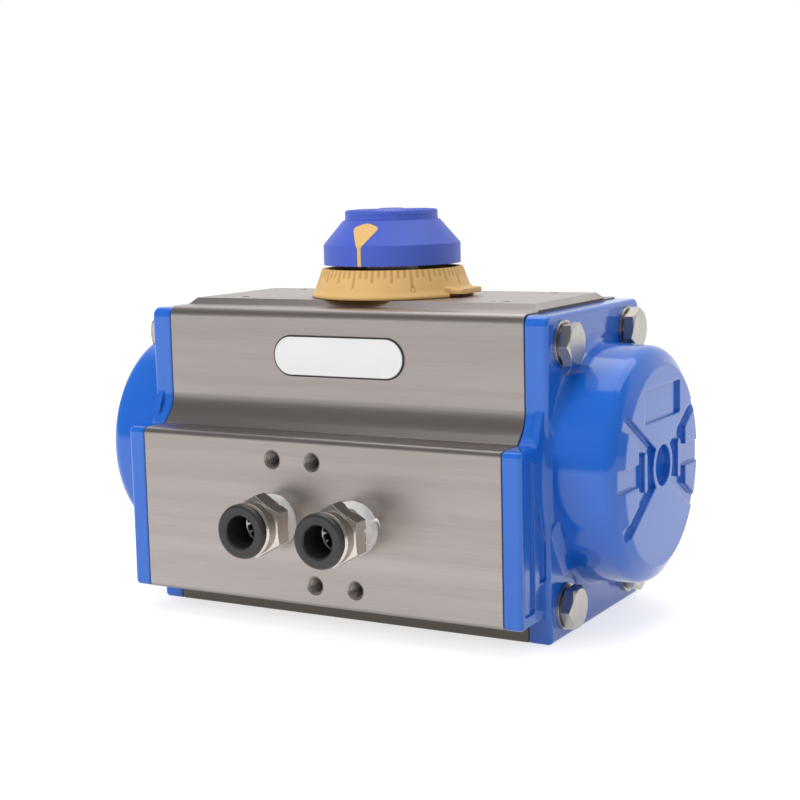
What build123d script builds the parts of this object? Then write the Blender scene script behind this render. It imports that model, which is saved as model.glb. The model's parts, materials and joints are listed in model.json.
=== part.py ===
from build123d import *
import os
from math import acos, cos, pi, radians, sin, tan

# Rack-and-pinion pneumatic actuator for quarter-turn valves.
# X runs along the cylinder, the port face looks along -Y, Z is up the pinion.
# The origin is on the valve mounting face, at the pinion's axis. Millimetres.

# Body
body_length = 106.7
body_width = 60.4
body_height = 82.0
bore_radius = 26.0
bore_height = 41.7
top_corner_radius = 2.4
port_face = 43.8
port_block_bottom = 6.8
port_block_top = 50.5
port_block_top_radius = 1.5
port_block_low_radius = 1.3
foot_inset = 0.5
foot_radius = 1.0
flare_reach = 4.4
flare_radius = 8.5
end_chamfer = 0.35
pad_rise = 1.7
pad_width = 42.4

# Interfaces
mount_circle_radius = 25.0
mount_core_radius = 2.5
mount_depth = 10.0
spigot_radius = 17.5
spigot_depth = 3.2
top_spacing_x = 80.0
top_spacing_y = 30.0
front_spacing_x = 12.0
front_spacing_z = 32.0
small_core_radius = 2.1
small_hole_depth = 8.5
mouth_chamfer = 0.4
port_spacing = 24.0
port_height = 28.4
port_radius = 6.6
port_depth = 12.0
air_hole_radius = 2.0
air_channel_y = 35.0
air_channel_rise = 10.1

# Play between pieces
screw_play = 0.05
running_play = 0.05
axial_play = 0.1
hole_play = 0.3

# End caps
cap_flange = 6.1
cap_port_flange = 5.0
cap_top_inset = 0.45
cap_edge_radius = 1.1
dome_root_radius = 30.95
dome_rim_radius = 30.2
dome_face_radius = 25.7
dome_length = 24.15
dome_chamfer = 2.6
dome_fillet = 2.6
dome_rim_fillet = 4.0
dome_face_fillet = 1.2
cavity_radius = 25.5
cavity_floor = 2.0
relief_depth = 1.2
hub_radius = 6.8
hub_hole_radius = 5.3
hub_hole_depth = 2.0
sector_offset = 2.1
sector_slope = 30.0
side_bar_place = 11.9
side_bar_width = 1.8
side_bar_length = 10.0
block_place = 16.7
block_gap = 2.9
panel_width = 25.0
panel_height = 8.6
panel_above_axis = 16.2
panel_depth = 0.9
pocket_depth = 0.7
pocket_inset = 1.7
pocket_width = 5.8
pocket_rib = 2.7
pocket_end = 3.2
corner_pocket_low = 16.7
seal_width = 1.6
seal_thickness = 1.0
seal_wall = 1.0

# Cap bolts
bolt_from_side = 9.2
bolt_from_top = 7.9
bolt_from_bottom = 8.2
bolt_radius = 3.0
bolt_root_radius = 2.5
bolt_across_flats = 10.0
bolt_head_height = 2.8
bolt_collar_radius = 4.4
bolt_collar_height = 0.5
bolt_thread_length = 12.0
bolt_seat_radius = 8.0
bolt_turns_right = (33, 33, 10, 52)
bolt_turns_left = (20, 0, 45, 10)
washer_radius = 5.9
washer_thickness = 0.8

# Pinion and racks
gear_module = 1.25
pinion_teeth = 16
pressure_angle = 20.0
addendum = 0.9
dedendum = 1.2
backlash = 0.2
face_width = 19.0
rack_teeth = 7
lower_journal_radius = 11.5
upper_journal_radius = 9.0
top_journal_radius = 7.0
top_key_half = 6.0
cam_seat_radius = 10.4
cam_key_half = 9.3
pinion_bottom = 3.5
pinion_top_above_pad = 18.0
socket_across_flats = 11.0
socket_depth = 15.0
bearing_wall = 2.0
lower_bearing_length = 8.0
ring_section = 0.9
ring_play = 0.02

# Stop cam and travel stops
cam_thickness = 6.0
cam_above_gear = 1.0
cam_hub_radius = 12.0
cam_reach = 17.0
cam_flat = 13.0
stop_place = 10.0
stop_radius = 3.0
stop_root_radius = 2.5
stop_nut_height = 5.0
stop_tail = 6.0
stop_key_across_flats = 3.0
stop_key_depth = 3.0
thrust_radius = 14.0
thrust_thickness = 1.5
outer_thrust_thickness = 1.2
outer_washer_thickness = 0.8
snap_ring_thickness = 1.2
snap_ring_width = 2.6
snap_ring_gap = 4.5
snap_eye_radius = 1.5
snap_eye_hole_radius = 0.75
snap_groove_depth = 0.8

# Pistons
piston_thickness = 13.0
piston_inner_face = 23.0
piston_play = 0.1
piston_dish_radius = 17.5
piston_dish_depth = 7.5
arm_back = 21.5
arm_gap = 0.6
guide_ring_width = 4.0
guide_ring_depth = 1.4
guide_ring_split = 1.0
piston_ring_section = 1.35
ring_groove_play = 0.15
shoe_length = 16.0
shoe_height = 15.0
shoe_recess = 0.6

# Indicator
base_foot_radius = 21.6
base_rim_radius = 19.2
base_height = 7.7
base_foot_height = 1.6
base_wall = 1.8
base_tab_reach = 24.2
base_tab_width = 12.0
base_tab_lift = 0.7
base_tab_thickness = 1.8
rotor_gap = 1.0
rotor_radius = 18.65
rotor_skirt = 5.4
rotor_shoulder_radius = 13.2
rotor_shoulder_rise = 6.4
rotor_crown_radius = 12.7
rotor_crown_height = 2.4
rotor_wall = 1.8
rotor_hub_radius = 10.0
pointer_angle = -88.0
pointer_stem_width = 1.1
pointer_fan_width = 8.0
pointer_proud = 0.1
screw_head_radius = 4.9
screw_head_height = 2.4
screw_slot_width = 1.0
screw_slot_depth = 1.2
screw_reach = 10.0
screw_hole_depth = 14.0
plug_radius = 5.3
plug_dome = 0.8

# Badge
badge_width = 39.4
badge_height = 11.7
badge_above_middle = 0.5
badge_centre_x = 0.35
badge_thickness = 0.5

# Push-in fittings
fitting_reach = 15.4
fitting_seat_left = 0.0
fitting_seat_right = 1.8
fitting_barrel_radius = 6.9
fitting_hex = 14.0
fitting_hex_start = 6.4
fitting_hex_length = 5.1
fitting_thread_length = 9.0
ring_flange_radius = 7.0
ring_flange_thickness = 1.5
ring_travel = 0.8
ring_gap = 0.3
ring_sleeve_wall = 1.5
ring_sleeve_length = 7.0
tube_radius = 4.1
tube_ledge = 1.0
grip_teeth = 8
grip_thickness = 0.8
grip_notch_depth = 1.6
grip_notch_width = 0.9
tape_radius = 6.95

# Values that follow from the ones above
half_length = body_length / 2
half_width = body_width / 2
flare_end = port_block_top + flare_reach + flare_radius * tan(radians(22.5))
top_pad = body_height + pad_rise
pitch_radius = gear_module * pinion_teeth / 2
tooth_pitch = pi * gear_module
tip_radius = pitch_radius + addendum * gear_module
gear_low = bore_height - face_width / 2
gear_high = bore_height + face_width / 2
cam_low = gear_high + cam_above_gear
cam_high = cam_low + cam_thickness
stop_height = (cam_low + cam_high) / 2
ceiling = bore_height + bore_radius + 0.2
thrust_low = ceiling - thrust_thickness
flange_face = half_length + cap_flange
port_flange_face = half_length + cap_port_flange
dome_face = half_length + dome_length
rim_station = dome_face - dome_chamfer
dome_foot_radius = dome_root_radius + dome_fillet
foot_front = half_width - foot_inset
pinion_top = top_pad + pinion_top_above_pad
stroke = pitch_radius * pi / 2
rack_root = pitch_radius + dedendum * gear_module
rack_tip = pitch_radius - addendum * gear_module
sleeve_radius = tube_radius + ring_sleeve_wall
lower_bearing_low = bore_height - bore_radius - lower_bearing_length
upper_bearing_high = (ceiling + top_pad) / 2
channel_height = port_height + air_channel_rise
shaft_end = top_pad + outer_thrust_thickness + axial_play + outer_washer_thickness
snap_low = shaft_end
snap_high = snap_low + snap_ring_thickness
base_top = top_pad + base_height
rotor_low = base_top + rotor_gap
skirt_top = rotor_low + rotor_skirt
shoulder = skirt_top + rotor_shoulder_rise
crown = shoulder + rotor_crown_height
roof_under = pinion_top + 0.3
screw_seat = crown - screw_head_height - 0.6


# Helpers for plain forms


def rod(radius, start, end):
    """A round bar between two points."""
    span = Vector(*end) - Vector(*start)
    return extrude(Plane(origin=start, z_dir=span) * Circle(radius), span.length)


def turned(points, plane):
    """A profile of (radius, station) points turned about the plane's own y axis."""
    profile = make_face(Polyline(*points, close=True))
    return revolve(plane * profile, axis=Axis(plane.origin, plane.y_dir))


def ring(major, minor, plane):
    """A round-section ring about the plane's own y axis, centred on its origin."""
    return revolve(plane * Pos(major, 0) * Circle(minor), axis=Axis(plane.origin, plane.y_dir))


def filled(points, radii):
    """A flat shape with straight sides and the given corner radii."""
    return make_face(FilletPolyline(*points, radius=radii, close=True))


def along_x(shape, start, end):
    """A flat shape drawn in Y and Z, made solid from one X station to the next."""
    return extrude(Plane.YZ.offset(start) * shape, end - start)


def group(solids):
    """Separate solids that share one node."""
    return Compound(children=list(solids))


def outward(point, direction):
    """A plane at a point whose own y axis runs along the given direction."""
    face = Plane(origin=point, z_dir=direction)
    return Plane(origin=point, x_dir=face.x_dir, z_dir=face.x_dir.cross(face.z_dir))


def at_height(z):
    return Plane(origin=(0, 0, z), x_dir=(1, 0, 0), z_dir=(0, -1, 0))


def across_bore(x):
    return Plane(origin=(x, 0, bore_height), x_dir=(0, 0, 1), z_dir=(0, 1, 0))


def out_of_port(x, y):
    return Plane(origin=(x, -y, port_height), x_dir=(1, 0, 0), z_dir=(0, 0, -1))


# Body and everything cut into it


def section(top):
    """The housing's outline up to a given top, seen along X; the caps repeat it."""
    corners = [
        (-foot_front, 0, foot_radius),
        (-foot_front, port_block_bottom, foot_radius),
        (-port_face, port_block_bottom, port_block_low_radius),
        (-port_face, port_block_top, port_block_top_radius),
        (-half_width - flare_reach, port_block_top, 0.8),
        (-half_width, port_block_top + flare_reach, flare_radius),
        (-half_width, top, top_corner_radius),
        (half_width, top, top_corner_radius),
        (half_width, 0, top_corner_radius),
    ]
    return filled([(y, z) for y, z, _ in corners], [r for _, _, r in corners])


def bolt_places():
    """Y and Z of the four bolts of a cap."""
    reach = half_width - bolt_from_side
    heights = (bolt_from_bottom, body_height - bolt_from_top)
    return [(y, z) for y in (-reach, reach) for z in heights]


def tapped(radius, mouth, direction, depth):
    """A blind hole with a drill point and a chamfered mouth."""
    profile = [
        (0, 1),
        (radius + mouth_chamfer + 1, 1),
        (radius, -mouth_chamfer),
        (radius, -depth),
        (0, -depth - radius * tan(radians(31))),
    ]
    return turned(profile, outward(mouth, direction))


def pinion_passage():
    """Spigot recess, bearing seats, ceiling pocket and running holes, bottom to top."""
    lower = lower_journal_radius + running_play
    upper = upper_journal_radius + running_play
    profile = [
        (0, -1),
        (spigot_radius, -1),
        (spigot_radius, spigot_depth),
        (lower, spigot_depth),
        (lower, lower_bearing_low),
        (lower + bearing_wall, lower_bearing_low),
        (lower + bearing_wall, bore_height),
        (thrust_radius + hole_play, bore_height),
        (thrust_radius + hole_play, ceiling),
        (upper + bearing_wall, ceiling),
        (upper + bearing_wall, upper_bearing_high),
        (upper, upper_bearing_high),
        (upper, top_pad + 1),
        (0, top_pad + 1),
    ]
    return turned(profile, at_height(0))


def body():
    block = along_x(section(body_height), -half_length, half_length)
    ends = block.faces().sort_by(Axis.X)
    block = chamfer(ends[0].edges() + ends[-1].edges(), end_chamfer)
    block += extrude(Pos(0, 0, body_height) * Rectangle(body_length, pad_width), pad_rise, taper=45)
    block -= rod(bore_radius, (-half_length, 0, bore_height), (half_length, 0, bore_height))
    block -= pinion_passage()
    for turn in range(4):
        angle = radians(45 + 90 * turn)
        mouth = (mount_circle_radius * cos(angle), mount_circle_radius * sin(angle), 0)
        block -= tapped(mount_core_radius, mouth, (0, 0, -1), mount_depth)
    for x in (-top_spacing_x / 2, top_spacing_x / 2):
        for y in (-top_spacing_y / 2, top_spacing_y / 2):
            block -= tapped(small_core_radius, (x, y, top_pad), (0, 0, 1), small_hole_depth)
    for x, level in ((-front_spacing_x, 1), (0, 1), (0, -1), (front_spacing_x, -1)):
        mouth = (x, -port_face, port_height + level * front_spacing_z / 2)
        block -= tapped(small_core_radius, mouth, (0, -1, 0), small_hole_depth)
    # The left port opens into the middle of the bore, the right one into a channel
    # that runs to both caps
    left = -port_spacing / 2
    right = port_spacing / 2
    for x in (left, right):
        block -= tapped(port_radius, (x, -port_face, port_height), (0, -1, 0), port_depth)
    block -= rod(air_hole_radius, (left, -port_face, port_height), (left, 0, port_height))
    channel = (-half_length, -air_channel_y, channel_height)
    block -= rod(air_hole_radius, channel, (half_length, -air_channel_y, channel_height))
    riser = (right, -air_channel_y, port_height)
    block -= rod(air_hole_radius, riser, (right, -air_channel_y, channel_height))
    for y, z in bolt_places():
        for side in (-1, 1):
            start = (side * half_length, y, z)
            end = (side * (half_length - bolt_thread_length - 1), y, z)
            block -= rod(bolt_root_radius + screw_play, start, end)
    for x in (-stop_place, stop_place):
        block -= rod(stop_root_radius + screw_play, (x, 0, stop_height), (x, half_width, stop_height))
    return block


# End caps, their seals and bolts


def seal_outline(grow):
    """Round the bore, with a loop that takes in the air channel."""
    radius = bore_radius + seal_wall + grow
    reach = air_channel_y + air_hole_radius + seal_wall + grow
    height = 2 * (air_hole_radius + seal_wall + grow)
    loop = Pos(-reach / 2, channel_height - bore_height) * Rectangle(reach, height)
    return Pos(0, bore_height) * (Circle(radius) + loop)


def relief():
    """The lowered parts of the cap's face, between its raised sectors, bars and blocks."""
    slope = tan(radians(sector_slope))
    far = 2 * dome_rim_radius
    raised = Circle(hub_radius)
    for up in (-1, 1):
        raised += make_face(
            Polyline(
                (0, up * sector_offset),
                (far, up * (sector_offset + far * slope)),
                (-far, up * (sector_offset + far * slope)),
                close=True,
            )
        )
    for side in (-1, 1):
        bar = Rot(0, 0, 90) * SlotOverall(side_bar_length, side_bar_width)
        raised += Pos(side * side_bar_place, 0) * bar
        for up in (-1, 1):
            raised += make_face(
                Polyline(
                    (side * block_place, up * block_gap),
                    (side * far, up * block_gap),
                    (side * far, up * (far * slope - sector_offset)),
                    (side * block_place, up * (block_place * slope - sector_offset)),
                    close=True,
                )
            )
    return Pos(0, bore_height) * (Circle(dome_rim_radius + 1) - raised)


def cap_pockets():
    """A tall pocket near the port face, a rib, and the gap between that and the dome."""
    outer = port_face - pocket_inset
    low = port_block_bottom + pocket_end
    high = port_block_top - pocket_end
    tall = Pos(-outer + pocket_width / 2, (low + high) / 2) * RectangleRounded(
        pocket_width, high - low, 1.0
    )
    near = outer - pocket_width - pocket_rib
    gap = Pos(-(near + half_width) / 2, (corner_pocket_low + bore_height) / 2) * Rectangle(
        near - half_width, bore_height - corner_pocket_low
    )
    return tall + (gap - Pos(0, bore_height) * Circle(dome_foot_radius + 0.3))


def cap_plate(outline, face):
    """A plate of the cap: rounded round its outer face, bevelled where it meets the housing."""
    plate = along_x(outline, half_length, face)
    plate = fillet(plate.faces().sort_by(Axis.X)[-1].edges(), cap_edge_radius)
    return chamfer(plate.faces().sort_by(Axis.X)[0].edges(), end_chamfer)


def dome_side_radius(station):
    """The dome's side leans in from its foot to its rim."""
    share = (station - port_flange_face) / (rim_station - port_flange_face)
    return dome_root_radius + share * (dome_rim_radius - dome_root_radius)


def dome():
    """The dome with its foot on the thin plate, and a second foot where the plate is thick."""
    plane = across_bore(0)
    axis = Axis(plane.origin, plane.y_dir)
    far = dome_foot_radius + 1
    whole = FilletPolyline(
        (0, port_flange_face - 2),
        (far, port_flange_face - 2),
        (far, port_flange_face),
        (dome_root_radius, port_flange_face),
        (dome_rim_radius, rim_station),
        (dome_face_radius, dome_face),
        (0, dome_face),
        radius=[0, 0, 0, dome_fillet, dome_rim_fillet, dome_face_fillet, 0],
        close=True,
    )
    above = flange_face + dome_fillet + 1
    foot = FilletPolyline(
        (dome_root_radius - 3, flange_face - 0.5),
        (far, flange_face - 0.5),
        (far, flange_face),
        (dome_side_radius(flange_face), flange_face),
        (dome_side_radius(above), above),
        (dome_root_radius - 3, above),
        radius=[0, 0, 0, dome_fillet, 0, 0],
        close=True,
    )
    reach = port_face + half_width - 0.05
    wide = Pos(half_width - 0.05 - reach / 2, body_height / 2) * Rectangle(reach, body_height)
    narrow = Pos(0, body_height / 2) * Rectangle(2 * (half_width - cap_edge_radius), body_height)
    form = revolve(plane * make_face(whole), axis=axis) & along_x(wide, half_length, dome_face + 1)
    return form + (revolve(plane * make_face(foot), axis=axis) & along_x(narrow, half_length, dome_face))


def end_cap():
    outline = section(body_height - cap_top_inset)
    square = Pos(0, body_height / 2) * Rectangle(2 * half_width, body_height + 2)
    cap = cap_plate(outline, port_flange_face) + cap_plate(outline & square, flange_face) + dome()
    for y, z in bolt_places():
        cap -= rod(bolt_seat_radius, (flange_face, y, z), (dome_face + 1, y, z))
    plane = across_bore(0)
    hub_floor = dome_face - hub_hole_depth
    cavity_end = hub_floor - cavity_floor
    cavity = [
        (0, half_length - 1),
        (cavity_radius, half_length - 1),
        (cavity_radius - 0.8, cavity_end - 3),
        (cavity_radius - 3.8, cavity_end),
        (0, cavity_end),
    ]
    cap -= turned(cavity, plane)
    cap -= along_x(relief(), dome_face - relief_depth, dome_face + 1)
    cap -= rod(hub_hole_radius, (hub_floor, 0, bore_height), (dome_face + 1, 0, bore_height))
    panel = Pos(0, bore_height + panel_above_axis) * RectangleRounded(panel_width, panel_height, 0.8)
    cap -= along_x(panel, dome_face - panel_depth, dome_face + 1)
    cap -= along_x(cap_pockets(), port_flange_face - pocket_depth, port_flange_face + 1)
    groove = seal_outline(seal_width + screw_play) - seal_outline(-screw_play)
    cap -= along_x(groove, half_length - 1, half_length + seal_thickness)
    reach = air_channel_y + air_hole_radius - cavity_radius / 2
    slot = Pos(-cavity_radius / 2 - reach / 2, channel_height) * Rectangle(reach, 2 * air_hole_radius)
    cap -= along_x(slot, half_length - 1, half_length + air_hole_radius)
    for y, z in bolt_places():
        cap -= rod(bolt_radius + hole_play, (half_length - 1, y, z), (flange_face + 1, y, z))
    return cap


def end_cap_seal():
    return along_x(seal_outline(seal_width) - seal_outline(0), half_length, half_length + seal_thickness)


def hex_head(origin, direction, flat_side, across_flats, height, turn):
    """A hexagon with its outer corners turned off."""
    plane = Plane(origin=origin, x_dir=flat_side, z_dir=direction)
    corner = across_flats / 2 / cos(radians(30))
    hexagon = Rot(0, 0, 30 + turn) * RegularPolygon(corner, 6)
    crown_radius = 0.95 * across_flats / 2
    profile = [
        (0, 0),
        (corner + 0.1, 0),
        (corner + 0.1, height - (corner + 0.1 - crown_radius) * tan(radians(30))),
        (crown_radius, height),
        (0, height),
    ]
    return extrude(plane * hexagon, height) & turned(profile, outward(origin, direction))


def cap_bolts(turns):
    """Hexagon bolts with a round collar under the head, each turned as it was left."""
    collar = flange_face + washer_thickness
    head = collar + bolt_collar_height
    bolts = []
    for (y, z), turn in zip(bolt_places(), turns):
        bolt = hex_head((head, y, z), (1, 0, 0), (0, -1, 0), bolt_across_flats, bolt_head_height, turn)
        bolt += rod(bolt_collar_radius, (collar, y, z), (head, y, z))
        bolt += rod(bolt_radius, (half_length + 0.5, y, z), (head, y, z))
        bolt += rod(bolt_root_radius, (half_length - bolt_thread_length, y, z), (head, y, z))
        bolts.append(bolt)
    return group(bolts)


def cap_washers():
    washers = []
    for y, z in bolt_places():
        start = (flange_face, y, z)
        end = (flange_face + washer_thickness, y, z)
        washers.append(rod(washer_radius, start, end) - rod(bolt_radius + hole_play, start, end))
    return group(washers)


# Pinion and what turns with it


def pinion_teeth_outline():
    """Involute teeth round the root circle, a tooth at every whole share of a turn."""
    base = pitch_radius * cos(radians(pressure_angle))
    root = pitch_radius - dedendum * gear_module

    def half_angle(radius):
        flank = acos(base / radius)
        start = radians(pressure_angle)
        at_pitch = (tooth_pitch / 2 - backlash / 2) / (2 * pitch_radius)
        return at_pitch + (tan(start) - start) - (tan(flank) - flank)

    def at(radius, angle):
        return (radius * cos(angle), radius * sin(angle))

    middle = (base + tip_radius) / 2
    wide = half_angle(base)
    inside = root - 0.3
    low, high = at(base, -wide), at(base, wide)
    tip_low, tip_high = at(tip_radius, -half_angle(tip_radius)), at(tip_radius, half_angle(tip_radius))
    edges = [
        Line(at(inside, -wide), low),
        ThreePointArc(low, at(middle, -half_angle(middle)), tip_low),
        ThreePointArc(tip_low, at(tip_radius, 0), tip_high),
        ThreePointArc(tip_high, at(middle, half_angle(middle)), high),
        Line(high, at(inside, wide)),
        Line(at(inside, wide), at(inside, -wide)),
    ]
    tooth = make_face(edges)
    outline = Circle(root)
    for count in range(pinion_teeth):
        outline += Rot(0, 0, 360 * count / pinion_teeth) * tooth
    return outline


def keyed(radius, half, play):
    """A circle with two flats."""
    return Circle(radius + play) & Rectangle(3 * radius, 2 * (half + play))


def ring_seat(journal, middle):
    """What is turned off a journal to hold a sealing ring."""
    depth = 2 * ring_section + ring_play
    low = middle - ring_section - ring_groove_play
    high = middle + ring_section + ring_groove_play
    return [(journal - depth, low), (journal + 1, low), (journal + 1, high), (journal - depth, high)]


lower_ring_height = (spigot_depth + lower_bearing_low) / 2
upper_ring_height = (upper_bearing_high + top_pad) / 2


def pinion():
    profile = [
        (0, pinion_bottom),
        (lower_journal_radius - 0.5, pinion_bottom),
        (lower_journal_radius, pinion_bottom + 0.5),
        (lower_journal_radius, gear_low - 0.5),
        (pitch_radius - dedendum * gear_module, gear_low - 0.5),
        (pitch_radius - dedendum * gear_module, cam_low - 0.4),
        (upper_journal_radius, cam_low - 0.4),
        (upper_journal_radius, snap_high + 1.2),
        (top_journal_radius, snap_high + 1.2),
        (top_journal_radius, pinion_top - 0.5),
        (top_journal_radius - 0.5, pinion_top),
        (0, pinion_top),
    ]
    shaft = turned(profile, at_height(0))
    shaft += extrude(Pos(0, 0, gear_low) * pinion_teeth_outline(), face_width)
    shaft += extrude(Pos(0, 0, gear_high) * Circle(cam_seat_radius), cam_low - gear_high)
    shaft += extrude(
        Pos(0, 0, cam_low) * keyed(cam_seat_radius, cam_key_half, 0), thrust_low - axial_play - cam_low
    )
    key_low = rotor_low + 0.2
    side = Pos(0, 0, key_low) * (
        Circle(top_journal_radius + 1) - keyed(top_journal_radius, top_key_half, 0)
    )
    shaft -= extrude(side, pinion_top - key_low)
    shaft -= turned(ring_seat(lower_journal_radius, lower_ring_height), at_height(0))
    shaft -= turned(ring_seat(upper_journal_radius, upper_ring_height), at_height(0))
    groove = upper_journal_radius - snap_groove_depth
    shaft -= plain_washer(groove, upper_journal_radius + 1, snap_low, snap_ring_thickness)
    square = Rectangle(socket_across_flats, socket_across_flats)
    star = square + Rot(0, 0, 45) * square
    shaft -= extrude(Pos(0, 0, pinion_bottom - 1) * star, socket_depth + 1)
    shaft -= tapped(bolt_root_radius + screw_play, (0, 0, pinion_top), (0, 0, 1), screw_hole_depth)
    return shaft


def pinion_ring(journal, middle):
    """A sealing ring that just clears the hole its journal runs in."""
    outer = journal + running_play - ring_play
    return ring(outer - ring_section, ring_section, at_height(middle))


def bearing(journal, low, high):
    """A plain bush on a journal."""
    inner = journal + running_play
    outer = inner + bearing_wall - screw_play
    return rod(outer, (0, 0, low), (0, 0, high)) - rod(inner, (0, 0, low), (0, 0, high))


def stop_cam():
    """Two lobes whose flats meet the closed stop at rest and the open stop a quarter turn on."""
    width = stop_radius + 0.1
    lobe = Pos(-stop_place + width / 4, cam_flat / 2) * Rectangle(2 * width, cam_flat)
    lobes = (lobe + Rot(0, 0, -90) * Pos(2 * stop_place - width / 2, 0) * lobe) & Circle(cam_reach)
    cam = extrude(Pos(0, 0, cam_low) * lobes, cam_thickness)
    cam += extrude(Pos(0, 0, cam_low) * Circle(cam_hub_radius), thrust_low - axial_play - cam_low)
    bore = keyed(cam_seat_radius, cam_key_half, running_play)
    return cam - extrude(Pos(0, 0, cam_low - 1) * bore, thrust_low - cam_low + 2)


def plain_washer(inner, outer, low, thickness):
    top = low + thickness
    return rod(outer, (0, 0, low), (0, 0, top)) - rod(inner, (0, 0, low), (0, 0, top))


def retaining_ring():
    """An open spring ring with two eyes."""
    inner = upper_journal_radius - snap_groove_depth + 0.05
    outer = inner + snap_ring_width
    low = snap_low + 0.05
    thickness = snap_ring_thickness - 0.1
    flat = Circle(outer) - Circle(inner) - Pos(0, outer) * Rectangle(snap_ring_gap, 2 * outer - inner)
    for side in (-1, 1):
        eye = Pos(side * (snap_ring_gap / 2 + 0.9 * snap_eye_radius), outer - 0.4 * snap_eye_radius)
        flat += eye * Circle(snap_eye_radius) - Circle(inner)
        flat -= eye * Circle(snap_eye_hole_radius)
    return extrude(Pos(0, 0, low) * flat, thickness)


# Travel stops


def stop_screws():
    screws = []
    for x in (-stop_place, stop_place):
        tip = cam_flat + running_play
        tail = half_width + washer_thickness + stop_nut_height + stop_tail
        screw = rod(stop_root_radius, (x, tip, stop_height), (x, tail, stop_height))
        mouth = Plane(origin=(x, tail - stop_key_depth, stop_height), x_dir=(1, 0, 0), z_dir=(0, 1, 0))
        key = mouth * RegularPolygon(stop_key_across_flats / 2 / cos(radians(30)), 6)
        screws.append(screw - extrude(key, stop_key_depth + 1))
    return group(screws)


def stop_nuts():
    nuts = []
    for x in (-stop_place, stop_place):
        seat = (x, half_width + washer_thickness, stop_height)
        nut = hex_head(seat, (0, 1, 0), (0, 0, 1), bolt_across_flats, stop_nut_height, 10)
        end = (x, half_width + washer_thickness + stop_nut_height, stop_height)
        nuts.append(nut - rod(stop_root_radius + screw_play, seat, end))
    return group(nuts)


def stop_washers():
    washers = []
    for x in (-stop_place, stop_place):
        start = (x, half_width, stop_height)
        end = (x, half_width + washer_thickness, stop_height)
        washers.append(rod(washer_radius, start, end) - rod(stop_radius, start, end))
    return group(washers)


# Pistons; the left one is the right one turned half round the pinion's axis


def rack_outline():
    """The rack's side view: a back, and teeth that look at the pinion."""
    half_tooth = tooth_pitch / 4 - backlash / 4
    slope = tan(radians(pressure_angle))
    tip = half_tooth - addendum * gear_module * slope
    root = half_tooth + dedendum * gear_module * slope
    end = -piston_inner_face + arm_gap
    points = [(piston_inner_face + 1, -arm_back), (end, -arm_back), (end, -rack_root)]
    for count in range(rack_teeth):
        middle = (count - rack_teeth + 2.5) * tooth_pitch
        points += [
            (middle - root, -rack_root),
            (middle - tip, -rack_tip),
            (middle + tip, -rack_tip),
            (middle + root, -rack_root),
        ]
    points += [(piston_inner_face + 1, -rack_root)]
    return make_face(Polyline(*points, close=True))


def shoe_box(play):
    """The room for the guide shoe on the back of the rack arm."""
    length = shoe_length + 2 * play
    depth = bore_radius
    place = (-shoe_length / 2 - 2, -arm_back + shoe_recess + play - depth / 2, bore_height)
    return Pos(*place) * Box(length, depth, shoe_height + 2 * play)


guide_ring_start = piston_inner_face + 2.0
piston_ring_place = piston_inner_face + piston_thickness - 3.2
piston_radius = bore_radius - piston_play


def piston():
    plane = across_bore(0)
    outer_face = piston_inner_face + piston_thickness
    groove_half = piston_ring_section + ring_groove_play
    groove_floor = bore_radius - running_play - 2 * piston_ring_section - ring_play
    guide_floor = piston_radius - guide_ring_depth
    guide_end = guide_ring_start + guide_ring_width
    head = [
        (0, piston_inner_face),
        (piston_radius - 0.5, piston_inner_face),
        (piston_radius, piston_inner_face + 0.5),
        (piston_radius, guide_ring_start),
        (guide_floor, guide_ring_start),
        (guide_floor, guide_end),
        (piston_radius, guide_end),
        (piston_radius, piston_ring_place - groove_half),
        (groove_floor, piston_ring_place - groove_half),
        (groove_floor, piston_ring_place + groove_half),
        (piston_radius, piston_ring_place + groove_half),
        (piston_radius, outer_face - 0.5),
        (piston_radius - 0.5, outer_face),
        (piston_dish_radius, outer_face),
        (piston_dish_radius - 1, outer_face - piston_dish_depth),
        (0, outer_face - piston_dish_depth),
    ]
    arm_height = face_width - 1
    arm = extrude(Pos(0, 0, bore_height - arm_height / 2) * rack_outline(), arm_height)
    return turned(head, plane) + (arm - shoe_box(screw_play))


def piston_ring():
    outer = bore_radius - ring_play
    return ring(outer - piston_ring_section, piston_ring_section, across_bore(piston_ring_place))


def piston_guide_ring():
    """A split band that carries the piston in its bore."""
    inner = piston_radius - guide_ring_depth + screw_play
    start = guide_ring_start + screw_play
    end = guide_ring_start + guide_ring_width - screw_play
    outer = bore_radius - running_play
    band = rod(outer, (start, 0, bore_height), (end, 0, bore_height))
    band -= rod(inner, (start, 0, bore_height), (end, 0, bore_height))
    split = Pos((start + end) / 2, 0, bore_height + bore_radius) * Box(
        2 * guide_ring_width, guide_ring_split, 4 * guide_ring_depth
    )
    return band - split


def guide_shoe():
    """A pad between the rack arm's back and the bore."""
    outer = bore_radius - running_play
    bar = rod(outer, (-2 * shoe_length, 0, bore_height), (shoe_length, 0, bore_height))
    return shoe_box(0) & bar


# Indicator


def rotor_form(grow):
    """The turning head's outside."""
    profile = [
        (0, rotor_low),
        (rotor_radius + grow, rotor_low),
        (rotor_radius + grow, skirt_top),
        (rotor_shoulder_radius + grow, shoulder),
        (rotor_crown_radius, shoulder),
        (rotor_crown_radius - 0.3, crown),
        (0, crown),
    ]
    return turned(profile, at_height(0))


def rotor_hollow():
    profile = [
        (0, rotor_low - 2),
        (rotor_radius - rotor_wall, rotor_low - 2),
        (rotor_radius - rotor_wall, skirt_top - 0.6),
        (rotor_shoulder_radius - rotor_wall, roof_under),
        (0, roof_under),
    ]
    return turned(profile, at_height(0))


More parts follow.
